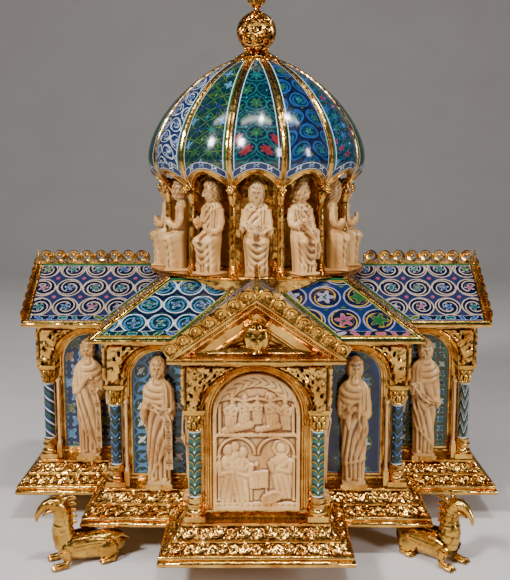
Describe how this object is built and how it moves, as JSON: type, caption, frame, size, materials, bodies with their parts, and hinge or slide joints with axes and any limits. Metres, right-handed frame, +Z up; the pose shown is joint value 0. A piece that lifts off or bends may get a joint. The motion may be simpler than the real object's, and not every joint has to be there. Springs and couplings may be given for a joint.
{
  "type": "domed reliquary casket",
  "caption": "Church-shaped reliquary casket: cross plan with gabled arms, a ribbed dome on a drum of seated figures, and griffin feet.",
  "frame": {"origin": "on the table, under the middle of the dome", "axes": "+Z up, -Y out of the front arm, +X to the right of a viewer in front"},
  "size_m": [0.41, 0.41, 0.455],
  "materials": {
    "fire_gilt_copper": "bright fire gilding, stamped and engraved",
    "cast_bronze": "cast and gilt, worn darker in the hollows",
    "roof_enamel": "champleve enamel plates in gilt borders",
    "dome_enamel": "glossy champleve enamel between gilt ribs",
    "column_enamel": "glossy enamel shaft, gilt base and capital",
    "walrus_ivory": "carved and polished, browned in the hollows"
  },
  "bodies": {
    "root": {"plinth": "fire_gilt_copper", "walls": "fire_gilt_copper", "roof": "roof_enamel", "drum": "fire_gilt_copper", "dome": "dome_enamel", "finial": "fire_gilt_copper", "prophet_front_1": "walrus_ivory", "prophet_front_2": "walrus_ivory", "prophet_front_3": "walrus_ivory", "prophet_front_4": "walrus_ivory", "prophet_right_1": "walrus_ivory", "prophet_right_2": "walrus_ivory", "prophet_right_3": "walrus_ivory", "prophet_right_4": "walrus_ivory", "prophet_back_1": "walrus_ivory", "prophet_back_2": "walrus_ivory", "prophet_back_3": "walrus_ivory", "prophet_back_4": "walrus_ivory", "prophet_left_1": "walrus_ivory", "prophet_left_2": "walrus_ivory", "prophet_left_3": "walrus_ivory", "prophet_left_4": "walrus_ivory", "plaque_front": "walrus_ivory", "plaque_right": "walrus_ivory", "plaque_back": "walrus_ivory", "plaque_left": "walrus_ivory", "mask_front": "cast_bronze", "mask_right": "cast_bronze", "mask_back": "cast_bronze", "mask_left": "cast_bronze", "column_front_left": "column_enamel", "column_front_right": "column_enamel", "column_front_corner": "column_enamel", "column_right_left": "column_enamel", "column_right_right": "column_enamel", "column_right_corner": "column_enamel", "column_back_left": "column_enamel", "column_back_right": "column_enamel", "column_back_corner": "column_enamel", "column_left_left": "column_enamel", "column_left_right": "column_enamel", "column_left_corner": "column_enamel", "griffin_front_right": "cast_bronze", "griffin_back_right": "cast_bronze", "griffin_back_left": "cast_bronze", "griffin_front_left": "cast_bronze", "seated_figure_1": "walrus_ivory", "seated_figure_2": "walrus_ivory", "seated_figure_3": "walrus_ivory", "seated_figure_4": "walrus_ivory", "seated_figure_5": "walrus_ivory", "seated_figure_6": "walrus_ivory", "seated_figure_7": "walrus_ivory", "seated_figure_8": "walrus_ivory", "seated_figure_9": "walrus_ivory", "seated_figure_10": "walrus_ivory", "seated_figure_11": "walrus_ivory", "seated_figure_12": "walrus_ivory", "seated_figure_13": "walrus_ivory"}
  },
  "joints": []
}
